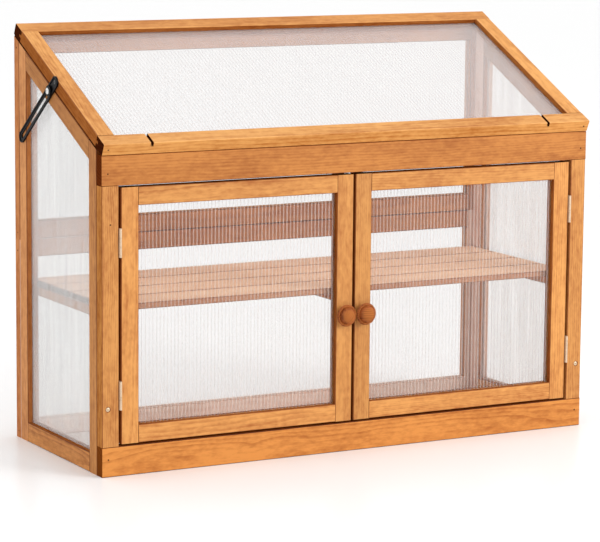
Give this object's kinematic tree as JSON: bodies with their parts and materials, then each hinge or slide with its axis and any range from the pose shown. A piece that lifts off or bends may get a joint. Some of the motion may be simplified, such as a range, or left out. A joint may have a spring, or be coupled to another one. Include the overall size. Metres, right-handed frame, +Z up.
{
  "type": "mini greenhouse",
  "caption": "Free-standing wooden mini greenhouse with a sloping hinged lid on a slotted stay, double doors, twin-wall glazing and a slatted shelf.",
  "frame": {"origin": "on the floor, in the middle of the front plinth's underside", "axes": "+X to the right along the front, +Y from the front to the back wall, +Z up"},
  "size_m": [0.9095, 0.3737, 0.691],
  "materials": {
    "carcass_wood": "honey-stained softwood, satin",
    "door_wood": "honey-stained softwood, satin",
    "lid_wood": "honey-stained softwood, satin",
    "shelf_wood": "honey-stained softwood, satin",
    "knob_wood": "stained and lacquered",
    "twin_wall_sheet": "clear twin-wall polycarbonate",
    "hinge_steel": "zinc plated",
    "fastener_steel": "zinc plated",
    "stay_steel": "black powder coat, satin",
    "catch_plastic": "moulded, brown"
  },
  "bodies": {
    "carcass": {"left_front_stile": "carcass_wood", "right_front_stile": "carcass_wood", "plinth": "carcass_wood", "header": "carcass_wood", "frame_screws": "fastener_steel", "left_side_front_stile": "carcass_wood", "left_side_rear_stile": "carcass_wood", "left_side_bottom_rail": "carcass_wood", "left_side_top_rail": "carcass_wood", "left_side_panel": "twin_wall_sheet", "right_side_front_stile": "carcass_wood", "right_side_rear_stile": "carcass_wood", "right_side_bottom_rail": "carcass_wood", "right_side_top_rail": "carcass_wood", "right_side_panel": "twin_wall_sheet", "back_lower_left_stile": "carcass_wood", "back_lower_right_stile": "carcass_wood", "back_lower_bottom_rail": "carcass_wood", "back_lower_top_rail": "carcass_wood", "back_lower_panel": "twin_wall_sheet", "back_upper_left_stile": "carcass_wood", "back_upper_right_stile": "carcass_wood", "back_upper_bottom_rail": "carcass_wood", "back_upper_top_rail": "carcass_wood", "back_upper_panel": "twin_wall_sheet", "door_catches": "catch_plastic", "frame_hinge_leaves": "hinge_steel", "door_hinge_pins": "hinge_steel", "wall_hinge_leaves": "hinge_steel", "lid_hinge_pins": "hinge_steel", "shelf_slats": "shelf_wood", "shelf_cleats": "shelf_wood", "stay_clamp_screw": "fastener_steel"},
    "lid": {"lid_front_rail": "lid_wood", "lid_back_rail": "lid_wood", "lid_right_stile": "lid_wood", "lid_left_stile": "lid_wood", "lid_panel": "twin_wall_sheet", "lid_hinge_leaves": "hinge_steel"},
    "left_door": {"left_door_hinge_stile": "door_wood", "left_door_meeting_stile": "door_wood", "left_door_bottom_rail": "door_wood", "left_door_top_rail": "door_wood", "left_door_panel": "twin_wall_sheet", "left_knob": "knob_wood", "left_knob_screw": "fastener_steel", "left_strike_plate": "fastener_steel", "left_door_hinge_leaves": "hinge_steel"},
    "right_door": {"right_door_meeting_stile": "door_wood", "right_door_hinge_stile": "door_wood", "right_door_bottom_rail": "door_wood", "right_door_top_rail": "door_wood", "right_door_panel": "twin_wall_sheet", "right_knob": "knob_wood", "right_knob_screw": "fastener_steel", "right_strike_plate": "fastener_steel", "right_door_hinge_leaves": "hinge_steel"},
    "stay_guide": {"stay_clamp_bush": "fastener_steel"},
    "stay_arm": {"stay_arm": "stay_steel", "stay_pivot_screw": "fastener_steel"}
  },
  "joints": [
    {"name": "lid_hinge", "type": "hinge", "parent": "carcass", "child": "lid", "pos_m": [0, 0.338, 0.67404], "axis": [-1, 0, 0], "range_deg": [0, 47.1]},
    {"name": "left_door_hinge", "type": "hinge", "parent": "carcass", "child": "left_door", "pos_m": [-0.4189, -0.0118, 0.25], "axis": [0, 0, -1], "range_deg": [0, 170]},
    {"name": "right_door_hinge", "type": "hinge", "parent": "carcass", "child": "right_door", "pos_m": [0.4189, -0.0118, 0.25], "axis": [0, 0, 1], "range_deg": [0, 170]},
    {"name": "stay_clamp_turn", "type": "hinge", "parent": "carcass", "child": "stay_guide", "pos_m": [-0.45, 0.1831, 0.59271], "axis": [-1, 0, 0], "range_deg": [0, 50]},
    {"name": "stay_slide", "type": "slide", "parent": "stay_guide", "child": "stay_arm", "axis": [0, -0.8039, 0.5948], "range_m": [0, 0.14]}
  ],
  "couplings": [
    {"joint": "stay_clamp_turn", "follows": "lid_hinge", "ratio": 1.0394},
    {"joint": "stay_slide", "follows": "lid_hinge", "m_per_rad": 0.17003}
  ]
}
